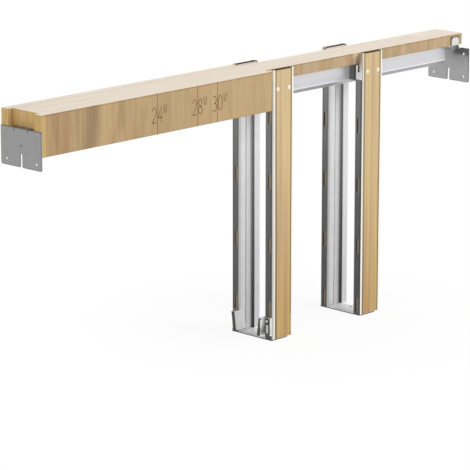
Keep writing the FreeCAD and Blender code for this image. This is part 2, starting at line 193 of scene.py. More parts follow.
class Finish:
    """A material, with short calls for the few kinds of node that the finishes here are made of."""

    def __init__(self, name, roughness, metallic=0.0, specular=0.5):
        self.material = bpy.data.materials.new(name)
        self.material.use_nodes = True
        self.tree = self.material.node_tree
        self.shader = self.tree.nodes["Principled BSDF"]
        self.shader.inputs["Roughness"].default_value = roughness
        self.shader.inputs["Metallic"].default_value = metallic
        self.shader.inputs["Specular IOR Level"].default_value = specular
        where = self.tree.nodes.new("ShaderNodeTexCoord")
        self.place = where.outputs["Object"]
        self.normal = where.outputs["Normal"]

    def _feed(self, socket, value):
        """Links a node's output to the socket, or sets the socket to a number or a colour."""
        if isinstance(value, bpy.types.NodeSocket):
            self.tree.links.new(value, socket)
        else:
            socket.default_value = value

    def feed(self, name, value):
        """Sets an input of the shader by its name."""
        self._feed(self.shader.inputs[name], value)

    def maths(self, operation, first, second=0.0, third=0.0):
        """The outcome of one operation of Blender's maths node."""
        node = self.tree.nodes.new("ShaderNodeMath")
        node.operation = operation
        for socket, value in zip(node.inputs, (first, second, third)):
            self._feed(socket, value)
        return node.outputs[0]

    def axis(self, vector, index):
        """One part of a vector: 0, 1 and 2 are X, Y and Z."""
        node = self.tree.nodes.new("ShaderNodeSeparateXYZ")
        self._feed(node.inputs[0], vector)
        return node.outputs[index]

    def facing(self, index, edge=0.7):
        """1 on faces that look along one axis, either way, and 0 on the others."""
        return self.maths("GREATER_THAN", self.maths("ABSOLUTE", self.axis(self.normal, index)), edge)

    def looking(self, index, way, edge=0.7):
        """1 on faces that look one way along one axis, and 0 on the others."""
        return self.maths("GREATER_THAN", self.maths("MULTIPLY", self.axis(self.normal, index), way), edge)

    def at(self, index):
        """The place along one axis, in metres."""
        return self.axis(self.place, index)

    def near(self, value, centre, half, soft):
        """1 within half of the centre, falling to 0 over the soft distance outside it."""
        away = self.maths("ABSOLUTE", self.maths("SUBTRACT", value, centre))
        return self.spread(away, half, half + soft, 1.0, 0.0)

    def length(self, first, second):
        """The straight distance over two distances at right angles."""
        squares = (self.maths("MULTIPLY", side, side) for side in (first, second))
        return self.maths("SQRT", self.maths("ADD", *squares))

    def all_of(self, *masks):
        """The product of the masks."""
        product = masks[0]
        for mask in masks[1:]:
            product = self.maths("MULTIPLY", product, mask)
        return product

    def paint(self, base, mask, shade, strength=1.0):
        """The base with another colour over it where the mask is 1."""
        return self.mix(self.maths("MULTIPLY", mask, strength), base, shade)

    def spread(self, value, low, high, at_low=0.0, at_high=1.0):
        """A value from low to high, turned into one from at_low to at_high and kept between them."""
        node = self.tree.nodes.new("ShaderNodeMapRange")
        given = {"Value": value, "From Min": low, "From Max": high, "To Min": at_low, "To Max": at_high}
        for name, setting in given.items():
            self._feed(node.inputs[name], setting)
        return node.outputs[0]

    def stretched(self, scale, shift=(0.0, 0.0, 0.0)):
        """The place on the object, in metres, times a scale along each axis."""
        node = self.tree.nodes.new("ShaderNodeMapping")
        self._feed(node.inputs["Vector"], self.place)
        node.inputs["Location"].default_value = shift
        node.inputs["Scale"].default_value = scale
        return node.outputs[0]

    def noise(self, scale, detail=2.0, bend=0.0, shift=(0.0, 0.0, 0.0)):
        """A cloudy pattern with that many turns to the metre along each axis, bent for wood."""
        node = self.tree.nodes.new("ShaderNodeTexNoise")
        self._feed(node.inputs["Vector"], self.stretched(scale, shift))
        node.inputs["Scale"].default_value = 1.0
        node.inputs["Detail"].default_value = detail
        node.inputs["Distortion"].default_value = bend
        return node.outputs["Fac"]

    def spangle(self, size):
        """A random grey for each zinc crystal of about that size."""
        node = self.tree.nodes.new("ShaderNodeTexVoronoi")
        self._feed(node.inputs["Vector"], self.stretched((1 / size, 1 / size, 1 / size)))
        node.inputs["Scale"].default_value = 1.0
        return self.axis(node.outputs["Color"], 0)

    def ramp(self, factor, *stops):
        """A colour for each share of the factor, as pairs of share and colour."""
        node = self.tree.nodes.new("ShaderNodeValToRGB")
        self._feed(node.inputs[0], factor)
        band = node.color_ramp
        while len(band.elements) < len(stops):
            band.elements.new(1.0)
        for element, (share, shade) in zip(band.elements, stops):
            element.position = share
            element.color = shade
        return node.outputs[0]

    def mix(self, factor, first, second, how="MIX"):
        """The first colour at factor 0 and the second at factor 1."""
        node = self.tree.nodes.new("ShaderNodeMix")
        node.data_type = "RGBA"
        node.blend_type = how
        for place, value in ((0, factor), (6, first), (7, second)):
            self._feed(node.inputs[place], value)
        return node.outputs[2]

    def times(self, base, level):
        """The base colour times a number."""
        node = self.tree.nodes.new("ShaderNodeCombineXYZ")
        for socket in node.inputs:
            self._feed(socket, level)
        return self.mix(1.0, base, node.outputs[0], "MULTIPLY")

    def shade(self, base, factor, dark, light):
        """The base colour times a grey from dark to light, as the factor goes from 0.3 to 0.7."""
        return self.times(base, self.spread(factor, 0.3, 0.7, dark, light))

    def finish(self, base, height=None, depth=0.0002, roughness=None):
        """Sets the colour, the relief and the roughness, and gives the material back."""
        self._feed(self.shader.inputs["Base Color"], base)
        if roughness is not None:
            self._feed(self.shader.inputs["Roughness"], roughness)
        if height is not None:
            node = self.tree.nodes.new("ShaderNodeBump")
            node.inputs["Distance"].default_value = depth
            node.inputs["Strength"].default_value = RELIEF_STRENGTH
            self._feed(node.inputs["Height"], height)
            self._feed(self.shader.inputs["Normal"], node.outputs[0])
        return self.material


def nailer_figure(made, front, low, high, streak, fine):
    """The nailers' front: knot and reddish streaks, a light left end, calm wood, and painted light to the
    right.
    """
    x, z = made.at(0), made.at(2)
    calm = made.spread(x, CALM_START, CALM_START + CALM_OVER, 0.0, 0.4)
    front = made.mix(calm, front, colour(186, 158, 116))
    # Painted light: the front grows brighter towards the right.
    front = made.times(front, made.spread(x, low.x, high.x, 0.95, 1.1))
    leaning = made.maths("MULTIPLY_ADD", made.maths("SUBTRACT", z, low.z), -0.12, x)
    leaning = made.maths("MULTIPLY_ADD", streak, 14 * MM, leaning)
    knot = made.near(leaning, KNOT_PLACE, 5 * MM, 16 * MM)
    front = made.paint(front, knot, colour(148, 124, 88), 0.75)
    beside_knot = made.near(leaning, KNOT_PLACE + 27 * MM, 4 * MM, 12 * MM)
    front = made.paint(front, beside_knot, colour(212, 182, 136), 0.5)
    reddish = made.all_of(made.near(x, REDDISH_PLACE, 12 * MM, 22 * MM), made.spread(fine, 0.4, 0.6))
    front = made.paint(front, reddish, colour(170, 124, 84), 0.7)
    left_end = made.spread(x, low.x + 7 * MM, low.x + 8 * MM, 1.0, 0.0)
    front = made.paint(front, left_end, colour(203, 176, 116))
    front = made.paint(front, made.near(x, low.x + 9 * MM, 0.6 * MM, 0.8 * MM), colour(208, 150, 104), 0.8)
    right_end = made.spread(x, high.x - 2.4 * MM, high.x - 1.2 * MM)
    return made.paint(front, right_end, colour(96, 80, 60), 0.15)


def header_figure(made, front):
    """The header's front: painted light and shade at the studs, and painted shade around the right bracket's
    ear.
    """
    x, z = made.at(0), made.at(2)
    for pair in PAIRS:
        start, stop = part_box(f"stud_channel_front_{pair}")
        middle = (start.x + stop.x) / 2
        half = (stop.x - start.x) / 2
        # Painted light beside each stud.
        front = made.paint(front, made.near(x, middle, half + 1 * MM, 4 * MM), colour(246, 208, 160), 0.55)
        # Painted shade in the gap behind the stud's middle.
        gap_shade = made.all_of(made.near(x, middle, half - 8 * MM, 0.8 * MM),
                          made.spread(z, GAP_SHADE_TOP, GAP_SHADE_TOP + 2 * MM, 1.0, 0.0))
        front = made.paint(front, gap_shade, colour(44, 35, 29))
        # A painted shadow to the right of each stud.
        shadow = made.near(x, stop.x + 19 * MM, 3 * MM, 6 * MM)
        front = made.paint(front, shadow, colour(140, 130, 108), 0.3)
        if pair == 2:
            # More painted light at the second stud's left side.
            glow = made.near(x, start.x + 2 * MM, 5 * MM, 5 * MM)
            front = made.paint(front, glow, colour(255, 230, 192), 0.9)
    start, stop = EAR_SPAN
    # Painted shade around the bracket's ear, and beyond it to the board's end.
    ear = made.all_of(made.near(x, (start + stop) / 2, (stop - start) / 2 + 2.0 * MM, 0.8 * MM),
                      made.spread(z, EAR_TIP + 1.2 * MM, EAR_TIP + 2.0 * MM, 1.0, 0.0))
    front = made.paint(front, ear, colour(80, 62, 42), 0.85)
    return made.paint(front, made.spread(x, stop + 1 * MM, stop + 3 * MM), colour(172, 156, 128), 0.75)


def beam_wood(name, low, high, seed, is_nailer):
    """The head boards: pale on top with grain along the board, tan in front with upright figure."""
    made = Finish(name, 0.55, specular=0.35)
    shift = (seed, seed, seed)
    x, y, z = (made.at(index) for index in range(3))

    long_grain = made.noise((9.0, 420.0, 420.0), 3.0, 0.3, shift)
    long_band = made.noise((4.0, 75.0, 75.0), 2.0, 0.5, shift)
    # Painted light: the top's colours are paler than the front's.
    top = made.ramp(long_band, (0.3, colour(232, 220, 198)), (0.44, colour(240, 229, 212)),
                    (0.52, colour(234, 218, 208)), (0.6, colour(238, 224, 202)),
                    (0.72, colour(229, 219, 196)))
    top = made.shade(top, long_grain, 0.9, 1.04)
    sides = max(abs(low.y), abs(high.y))
    # A painted highlight along the top's long edges.
    top_edge_highlight = made.spread(made.maths("ABSOLUTE", y), sides - 1.6 * MM, sides - 0.8 * MM)
    top = made.paint(top, top_edge_highlight, colour(252, 238, 208), 0.7)

    fine = made.noise((520.0, 520.0, 12.0), 3.0, 0.15, shift)
    streak = made.noise((150.0, 150.0, 8.0), 2.0, 1.1, shift)
    band = made.noise((36.0, 50.0, 5.0), 2.0, 1.0, shift)
    warm = made.noise((60.0, 60.0, 2.5), 1.0, 0.3, (seed + 5.0, seed, seed))
    if is_nailer:
        shades = (colour(176, 148, 102), colour(187, 158, 114), colour(196, 166, 121),
                  colour(190, 163, 122), colour(181, 154, 106))
    else:
        shades = (colour(176, 152, 112), colour(188, 162, 122), colour(197, 172, 138),
                  colour(192, 163, 124), colour(178, 148, 108))
    front = made.ramp(band, *zip((0.3, 0.43, 0.52, 0.6, 0.72), shades))
    front = made.mix(made.spread(warm, 0.52, 0.7, 0.0, 0.55), front, colour(194, 154, 118))
    front = made.shade(front, streak, 0.9, 1.07)
    front = made.shade(front, fine, 0.93, 1.04)
    if is_nailer:
        front = nailer_figure(made, front, low, high, streak, fine)
    else:
        front = header_figure(made, front)
        for knot_x, knot_y, half in TOP_KNOTS:
            knot = made.all_of(made.near(x, knot_x, half, 6 * MM), made.near(y, knot_y, 0.8 * MM, 2.2 * MM))
            top = made.paint(top, knot, colour(196, 190, 168), 0.75)
    rim = made.maths("MAXIMUM", made.spread(z, low.z, low.z + 1.6 * MM, 1.0, 0.0),
                     made.near(z, high.z - 1.6 * MM, 0.5 * MM, 0.8 * MM))
    front = made.paint(front, rim, colour(132, 104, 66), 0.4)

    # The ends: the end grain's colours, painted lighter against the shade on them.
    end = made.ramp(made.noise((60.0, 90.0, 5.0), 1.0, 0.2, shift), (0.35, colour(224, 192, 122)),
                    (0.5, colour(234, 194, 123)), (0.65, colour(238, 198, 138)))
    end = made.shade(end, made.noise((500.0, 420.0, 14.0), 3.0, 0.0, shift), 0.82, 1.05)

    base = made.mix(made.facing(2), made.mix(made.facing(0), front, end), top)
    height = made.mix(made.facing(2), fine, long_grain)
    rough = made.spread(fine, 0.3, 0.7, 0.5, 0.68)
    return made.finish(base, height, 0.0002, rough)


def stud_wood(name, low, high, out, pair, slot):
    """The strips in the studs: upright grain, with painted shade towards the foot and beside the channel's
    lips.

    out is the way the strip faces along Y, and slot the middle of the channel's side slots.
    """
    seed = 2.3 * pair + (7.0 if out > 0 else 0.0)
    made = Finish(name, 0.5, specular=0.35)
    shift = (seed, seed, seed)
    x, y, z = (made.at(index) for index in range(3))
    grain = made.noise((560.0, 560.0, 8.0), 3.0, 0.2, shift)
    streak = made.noise((240.0, 240.0, 3.5), 2.0, 0.3, shift)
    band = made.noise((90.0, 90.0, 2.2), 1.0, 0.3, shift)
    upper = made.ramp(band, (0.3, colour(202, 176, 132)), (0.45, colour(214, 184, 142)),
                      (0.55, colour(222, 196, 142)), (0.68, colour(214, 188, 148)))
    lower = made.ramp(band, (0.3, colour(184, 150, 98)), (0.45, colour(194, 156, 108)),
                      (0.55, colour(206, 174, 108)), (0.68, colour(192, 162, 112)))
    # Painted shade: the lower wood is darker, towards the foot.
    base = made.mix(made.spread(z, 40 * MM, 300 * MM), lower, upper)
    base = made.shade(base, streak, 0.92, 1.05)
    base = made.shade(base, grain, 0.93, 1.04)

    inset = made.maths("SUBTRACT", x, low.x)
    left = made.spread(z, *LEAN_SPAN, *WOOD_LEFT[pair])
    right = made.spread(z, *LEAN_SPAN, *WOOD_RIGHT[pair])
    beside = made.maths("MAXIMUM", made.maths("SUBTRACT", left, inset),
                        made.maths("SUBTRACT", inset, right))
    across = made.maths("MAXIMUM", made.maths("ADD", beside, WOOD_CORNER), 0.0)
    above = made.maths("MAXIMUM", made.maths("SUBTRACT", z, high.z + 0.6 * MM - WOOD_CORNER), 0.0)
    # A painted shade outline inside the lips and round the upper corners.
    rim = made.spread(made.length(across, above), WOOD_CORNER, WOOD_CORNER + 0.8 * MM)
    rim_shade = made.mix(made.spread(z, *STUD_FADE), colour(116, 96, 66), colour(152, 134, 104))
    base = made.paint(base, rim, rim_shade, 0.9)
    # Painted shade from the lips: light beside the clear wood, strong outside it.
    painted_shade = made.mix(made.spread(z, *STUD_FADE), colour(132, 112, 84), colour(168, 150, 122))
    base = made.paint(base, made.spread(beside, -2.4 * MM, -0.2 * MM), painted_shade, 0.3)
    base = made.paint(base, made.maths("LESS_THAN", inset, left), painted_shade, 0.85)
    # The left lip's painted white carried onto the wood's first millimetres.
    white_end = made.spread(z, *LEAN_SPAN, *LIP_WHITE_END[pair])
    base = made.paint(base, made.maths("LESS_THAN", inset, white_end), colour(255, 252, 240))
    # Painted shade along the top of the wood.
    base = made.paint(base, made.spread(z, high.z - 2.6 * MM, high.z - 1.8 * MM), colour(140, 118, 88), 0.55)

    # The sides seen through the slots: painted light, then painted shade past SLOT_LIGHT.
    in_slot = made.mix(made.spread(z, 150 * MM, 350 * MM), colour(142, 126, 102), colour(166, 150, 126))
    light_end = slot + SLOT_LIGHT[pair]
    shaded = made.mix(made.spread(y, light_end, light_end + 0.5 * MM), in_slot, colour(38, 31, 24))
    if pair == 2 and out < 0:
        grey_start = slot - 2.0 * MM
        greyed = made.spread(y, grey_start - 0.3 * MM, grey_start, 1.0, 0.0)
        shaded = made.paint(shaded, greyed, colour(140, 138, 130))
    base = made.paint(base, made.facing(0), shaded)
    # The inner faces: painted shade in the channel, and above the header the header top's painted cream.
    inner = made.mix(made.spread(z, high.z - 5 * MM, high.z - 4 * MM),
                     colour(52, 44, 38), colour(255, 246, 232))
    base = made.paint(base, made.looking(1, -out), inner)
    # The tops: painted shade, on the front cores only in front of the header top's painted cream.
    crown = colour(44, 38, 34)
    if out < 0:
        crown = made.mix(made.spread(y, low.y + 7.4 * MM, low.y + 8.2 * MM),
                         colour(46, 36, 27), colour(236, 222, 200))
    on_top = made.looking(2, 1, 0.35)
    base = made.paint(base, on_top, crown)
    made.feed("Specular IOR Level", made.spread(on_top, 0.0, 1.0, 0.35, 0.05))
    return made.finish(base, grain, 0.0002, made.spread(grain, 0.3, 0.7, 0.44, 0.62))


def sheet_steel(name, level):
    """The zinc coat of the small heads: one grey with faint clouds, crystals and a rolled sheen."""
    made = Finish(name, 0.36, 0.6)
    rolled = made.noise((1400.0, 1400.0, 6.0), 3.0)
    cloud = made.noise((60.0, 60.0, 18.0), 2.0, 0.6)
    zinc = made.spangle(5 * MM)
    base = made.shade(grey(level), cloud, 0.94, 1.03)
    base = made.shade(base, zinc, 0.97, 1.02)
    base = made.shade(base, rolled, 0.95, 1.03)
    return made.finish(base, rolled, 0.00006, made.spread(rolled, 0.3, 0.7, 0.3, 0.46))


def channel_side(made, across, depth, z, low, high, pair):
    """The walls of the channel and groove, in painted shade: dark edges, the strap's slot and the lip's end.
    """
    # Painted shade: the sides are dark, darker towards the foot.
    side = made.mix(made.spread(z, 60 * MM, 240 * MM), grey(88), grey(106))
    side = made.mix(made.spread(z, 240 * MM, 400 * MM), side, grey(140))
    # Painted shade along the edges of the sides.
    edges = made.maths("SUBTRACT", 1.0, made.near(depth, (high.y - low.y) / 2, 2.2 * MM, 4.5 * MM))
    side = made.paint(side, edges, grey(66), 0.6)
    side = made.paint(side, made.spread(depth, 13.2 * MM, 13.9 * MM), grey(165))
    side = made.paint(side, made.spread(z, high.z - 18 * MM, high.z - 12 * MM), colour(192, 172, 146), 0.9)
    # Painted shade: black on the side behind the strap's slot.
    slot = made.all_of(made.near(depth, STRAP_SLOT_DEPTH, 2.2 * MM, 0.1 * MM),
                       made.spread(z, high.z - 33 * MM, high.z - 32.9 * MM),
                       made.spread(z, high.z - 22 * MM, high.z - 14 * MM, 1.0, 0.0))
    side = made.paint(side, slot, grey(16))

    middle = (high.x - low.x) / 2
    # The groove's wall: painted shade, darker towards the foot.
    wall = made.mix(made.spread(z, 30 * MM, 400 * MM), grey(104), grey(188))
    wall = made.paint(wall, made.spread(depth, 12 * MM, 13.5 * MM), grey(70), 0.6)
    side = made.paint(side, made.near(across, middle, 12 * MM, 1 * MM), wall)
    # Painted shade on the end face of the right lip.
    lip_end = made.all_of(made.spread(across, middle, middle + 1 * MM),
                          made.spread(depth, 1.2 * MM, 1.4 * MM, 1.0, 0.0))
    side = made.paint(side, lip_end, colour(176, 158, 130))
    if pair == 1:
        beside_guide = made.all_of(made.spread(depth, 2.6 * MM, 2.9 * MM, 1.0, 0.0),
                                   made.near(z, 23 * MM, 15 * MM, 0.5 * MM))
        side = made.paint(side, beside_guide, grey(250))
    return side


def channel_web(made, across, z):
    """The channel's back, painted light, with painted shade in its groove and a dark painted line beside it.
    """
    # The web is painted light, darker towards the foot.
    web = made.mix(made.spread(z, *WEB_FADE), grey(232), grey(255))
    beyond = made.mix(made.spread(z, *WEB_FADE), grey(216), grey(238))
    web = made.paint(web, made.spread(across, GROOVE_END, GROOVE_END + 0.1 * MM), beyond)
    web = made.paint(web, made.spread(across, GROOVE_END + 12 * MM, GROOVE_END + 13 * MM), grey(255))
    # Painted shade where the groove's floor comes into view.
    groove_edge_shade = made.mix(made.spread(z, 30 * MM, 300 * MM), grey(108), grey(152))
    web = made.paint(web, made.near(across, FLOOR_SEEN, 1.1 * MM, 0.3 * MM), groove_edge_shade, 0.95)
    # A painted shade line beside the groove's far wall.
    line = made.mix(made.spread(z, 100 * MM, 300 * MM), grey(96), grey(215))
    web = made.paint(web, made.near(across, GROOVE_END + 0.4 * MM, 0.4 * MM, 0.2 * MM), line)
    # Painted shade near the web's left bend.
    web = made.paint(web, made.near(across, GROOVE_START * 0.62, 0.3 * MM, 1.2 * MM), grey(205), 0.3)
    return made.paint(web, made.near(across, 2.4 * MM, 0.4 * MM, 3.0 * MM), grey(196), 0.5)


def channel_lip(made, across, z, pair):
    """The channel's lips: the left turns from painted shade to white, painted shadow lies at both inner
    edges.
    """
    # The lips' white is painted light.
    white = made.mix(made.spread(z, 60 * MM, 430 * MM), colour(255, 252, 244), colour(255, 252, 238))
    # Painted shade on the outer part of the left lip, near its bend.
    painted_shade = made.mix(made.spread(z, *WEB_FADE), colour(194, 192, 188), colour(210, 208, 200))
    painted_shade = made.mix(made.spread(z, 384 * MM, 396 * MM), painted_shade, colour(218, 202, 182))
    past_shade = made.maths("SUBTRACT", across, made.spread(z, *LEAN_SPAN, *LIP_SHADE_END[pair]))
    lip = made.mix(made.spread(past_shade, -LIP_SOFT, LIP_SOFT), painted_shade, white)
    shadow = made.mix(made.spread(z, *STUD_FADE), colour(150, 132, 106), colour(174, 156, 128))
    past_white = made.maths("SUBTRACT", across, made.spread(z, *LEAN_SPAN, *LIP_WHITE_END[pair]))
    on_left = made.spread(across, 8 * MM, 9 * MM, 1.0, 0.0)
    lip = made.paint(lip, made.all_of(made.spread(past_white, -LIP_SOFT, LIP_SOFT), on_left), shadow)
    past_dark = made.maths("SUBTRACT", across, made.spread(z, *LEAN_SPAN, *LIP_DARK_END[pair]))
    on_right = made.spread(across, 40 * MM, 41 * MM)
    before_dark = made.spread(past_dark, -LIP_SOFT, LIP_SOFT, 1.0, 0.0)
    return made.paint(lip, made.all_of(before_dark, on_right), shadow)


def channel_steel(name, low, high, out, pair):
    """The stud channel: side walls in painted shade, white lips and light web painted light, shade at its
    groove.
    """
    made = Finish(name, 0.38, 0.55)
    x, y, z = (made.at(index) for index in range(3))
    across = made.maths("SUBTRACT", x, low.x)
    depth = made.maths("SUBTRACT", y, low.y) if out < 0 else made.maths("SUBTRACT", high.y, y)
    in_front = made.spread(depth, 1.5 * MM, 1.7 * MM, 1.0, 0.0)
    in_groove = made.all_of(made.near(across, (GROOVE_START + GROOVE_END) / 2,
                                      (GROOVE_END - GROOVE_START) / 2, 0.1 * MM), made.facing(1))
    on_lip = made.all_of(in_front, made.facing(1))
    polish = made.maths("SUBTRACT", 0.55, made.maths("MULTIPLY", in_groove, 0.55))
    made.feed("Metallic", made.maths("MULTIPLY_ADD", on_lip, 0.35, polish))

    face = made.mix(in_front, channel_web(made, across, z), channel_lip(made, across, z, pair))
    side = channel_side(made, across, depth, z, low, high, pair)
    # Painted light and shade: the channel's faces light, its side walls dark.
    base = made.mix(made.facing(0), face, side)
    rolled = made.noise((1400.0, 1400.0, 6.0), 3.0)
    base = made.shade(base, made.noise((60.0, 60.0, 14.0), 2.0, 0.6), 0.96, 1.02)
    base = made.shade(base, made.spangle(5 * MM), 0.98, 1.015)
    base = made.shade(base, rolled, 0.96, 1.02)
    return made.finish(base, rolled, 0.00006, made.spread(rolled, 0.3, 0.7, 0.32, 0.48))


def guide_steel(node):
    """The door guides: folded sheet in painted light and shade, with dark reflections on the flange by the
    stud.
    """
    low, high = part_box(node)
    made = Finish(f"{node}_steel", 0.45, 0.0, 0.3)
    x, z = made.at(0), made.at(2)
    y = made.maths("ABSOLUTE", made.at(1))
    rolled = made.noise((900.0, 900.0, 12.0), 2.0)
    # Painted light on the faces and painted shade on the sides.
    face = grey(255)
    side = grey(84)
    flange = made.mix(made.spread(z, high.z - 3 * MM, high.z - 2 * MM), grey(96), grey(140))
    if low.y < 0:
        # On the front guide, painted shade on the face low down.
        face = made.ramp(made.spread(z, low.z, high.z), (0.07, grey(255)), (0.12, grey(190)),
                         (0.4, grey(225)), (0.56, grey(255)))
        # Painted light and shade on the front guide's turned edge.
        turned = made.spread(y, 30.2 * MM, 30.4 * MM)
        turned_shade = made.ramp(made.spread(z, low.z, high.z), (0.1, grey(255)), (0.16, grey(110)),
                                 (0.42, grey(110)), (0.5, grey(255)), (0.9, grey(255)), (0.96, grey(84)))
        side = made.paint(side, turned, turned_shade)
    # Painted highlights on the flange: a strip low down and its outer edge.
    strip = made.all_of(made.near(y, 35.3 * MM, 2.0 * MM, 0.3 * MM),
                        made.near(z, low.z + 10.5 * MM, 6.5 * MM, 0.5 * MM))
    flange = made.paint(flange, strip, grey(255))
    flange = made.paint(flange, made.spread(y, 41.2 * MM, 41.5 * MM), grey(250))
    away = made.maths("SUBTRACT", y, FRAME_SIDE + GUIDE_SCREW_IN)
    above = made.maths("SUBTRACT", z, low.z + GUIDE_SCREW_UP)
    around_screw = made.spread(made.length(away, above), 4.2 * MM, 4.6 * MM, 1.0, 0.0)
    flange = made.paint(flange, around_screw, grey(52))
    side = made.mix(made.spread(x, low.x + 5 * MM, low.x + 6 * MM), side, flange)
    base = made.mix(made.facing(0), face, side)
    base = made.shade(base, rolled, 0.94, 1.04)
    return made.finish(base, rolled, 0.00006, made.spread(rolled, 0.3, 0.7, 0.38, 0.52))


def strap_steel(name, low, high, out, pair):
    """The bright strap: near white, with painted shade on the outer side of its slot."""
    made = Finish(name, 0.32, 0.5)
    y, z = made.at(1), made.at(2)
    depth = made.maths("SUBTRACT", y, low.y) if out < 0 else made.maths("SUBTRACT", high.y, y)
    rolled = made.noise((900.0, 900.0, 30.0), 2.0)
    # Painted shade on the outer side of the slot, greyer and warmer towards the top.
    painted_shade = made.all_of(made.spread(depth, 6.2 * MM, 7.0 * MM, 1.0, 0.0),
                       made.spread(z, high.z - 34 * MM, high.z - 25 * MM))
    top_shade = colour(255, 236, 204) if pair == 1 else colour(196, 182, 162)
    grey_part = made.mix(made.spread(z, high.z - 30 * MM, high.z - 10 * MM), grey(224), top_shade)
    base = made.mix(painted_shade, grey(250), grey_part)
    base = made.shade(base, rolled, 0.97, 1.01)
    return made.finish(base, rolled, 0.00004, made.spread(rolled, 0.3, 0.7, 0.26, 0.4))


def clip_steel(name):
    """The spacer sleeves: grey sheet in painted shade, dark on its sides and darker still along the edge by
    the stud.
    """
    made = Finish(name, 0.4, 0.5)
    y = made.at(1)
    cloud = made.noise((80.0, 80.0, 30.0), 2.0)
    rolled = made.noise((1200.0, 1200.0, 20.0), 2.0)
    # Painted shade along the edge beside the stud, and on the faces that look along the track.
    edge = made.spread(made.maths("ABSOLUTE", y), 25.5 * MM, 26.5 * MM)
    base = made.mix(made.facing(0), grey(190), grey(112))
    base = made.paint(base, edge, grey(62), 0.8)
    base = made.shade(base, cloud, 0.92, 1.04)
    base = made.shade(base, rolled, 0.96, 1.02)
    return made.finish(base, rolled, 0.00006, made.spread(cloud, 0.3, 0.7, 0.34, 0.5))


def plate_steel(name, low, high, level, rim_level):
    """The flat plates' zinc coat with a dark rim: the finish, its colour, and the patterns for its relief."""
    made = Finish(name, 0.42, 0.5)
    y, z = made.at(1), made.at(2)
    rolled = made.noise((60.0, 1200.0, 60.0), 2.0)
    cloud = made.noise((45.0, 45.0, 45.0), 3.0, 0.4)
    zinc = made.spangle(4 * MM)
    base = made.shade(grey(level), cloud, 0.96, 1.03)
    rim = made.maths("MAXIMUM", made.spread(made.maths("ABSOLUTE", y), high.y - 1.6 * MM, high.y - 0.8 * MM),
                     made.spread(z, low.z + 0.8 * MM, low.z + 1.6 * MM, 1.0, 0.0))
    slot = made.all_of(made.near(y, 0.0, 3.0 * MM, 0.8 * MM),
                       made.spread(z, low.z + 20.6 * MM, low.z + 21.4 * MM, 1.0, 0.0))
    base = made.paint(base, made.maths("MAXIMUM", rim, slot), grey(rim_level), 0.7)
    return made, base, cloud, rolled, zinc


def finish_plate(made, base, cloud, rolled, zinc):
    """Adds faint crystals and a rolled sheen to a plate's colour, and gives the material back."""
    base = made.shade(base, zinc, 0.97, 1.02)
    base = made.shade(base, rolled, 0.97, 1.02)
    return made.finish(base, rolled, 0.00005, made.spread(cloud, 0.3, 0.7, 0.36, 0.5))


def left_bracket_steel(name):
    """The left plate: a mid grey, with painted shadow along its top edge."""
    low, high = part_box("end_bracket_left")
    made, base, *relief = plate_steel(name, low, high, 163, 128)
    # Painted shadow along the top edge, under the wood.
    edge = made.spread(made.at(2), high.z - 1.3 * MM, high.z - 0.6 * MM)
    base = made.paint(base, edge, grey(96), 0.7)
    return finish_plate(made, base, *relief)


def right_bracket_steel(name):
    """The right plate: a soft patch of painted shade under its top edge, and white ears in painted light."""
    low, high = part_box("end_bracket_right")
    made, base, *relief = plate_steel(name, low, high, 186, 140)
    y, z = made.at(1), made.at(2)
    start = high.x - PLATE_LAYER
    on_plate = made.all_of(made.facing(0), made.spread(made.at(0), start, start + 0.1 * MM))
    # A soft patch of painted shade under the plate's top edge.
    wavy = made.maths("MULTIPLY_ADD", made.noise((90.0, 90.0, 90.0), 2.0), 8 * MM, z)
    shade_patch = made.all_of(on_plate, made.spread(wavy, PLATE_TOP - 11.5 * MM, PLATE_TOP - 6 * MM),
                        made.spread(made.maths("ABSOLUTE", y), 6 * MM, 16 * MM))
    base = made.paint(base, shade_patch, grey(114), 0.9)
    # The ears: painted light above, painted shade on their lower part.
    ear = made.all_of(made.facing(1), made.spread(z, EAR_WHITE, EAR_WHITE + 1.0 * MM))
    neck = made.all_of(made.facing(1), made.spread(z, EAR_WHITE, EAR_WHITE + 1.0 * MM, 1.0, 0.0))
    neck_shade = made.mix(made.spread(made.at(0), EAR_SPAN[0], EAR_SPAN[1] - 6 * MM), grey(150), grey(92))
    base = made.paint(base, neck, neck_shade)
    # Painted light on the faces that look up.
    base = made.paint(base, made.facing(2), grey(206))
    base = made.paint(base, ear, colour(228, 223, 216))
    return finish_plate(made, base, *relief)


def floor_steel(name):
    """The floor plates: bright zinc with dark edges in painted shade, and white on the raised middle."""
    made = Finish(name, 0.4, 0.1)
    z = made.at(2)
    rolled = made.noise((60.0, 900.0, 60.0), 2.0)
    # Painted shade on the plates' sides.
    base = made.mix(made.facing(2), grey(70), grey(255))
    flat = made.all_of(made.facing(2), made.spread(z, 1.6 * MM, 1.8 * MM, 1.0, 0.0))
    base = made.paint(base, flat, grey(232))
    base = made.shade(base, rolled, 0.98, 1.02)
    return made.finish(base, rolled, 0.00003, made.spread(rolled, 0.3, 0.7, 0.34, 0.46))


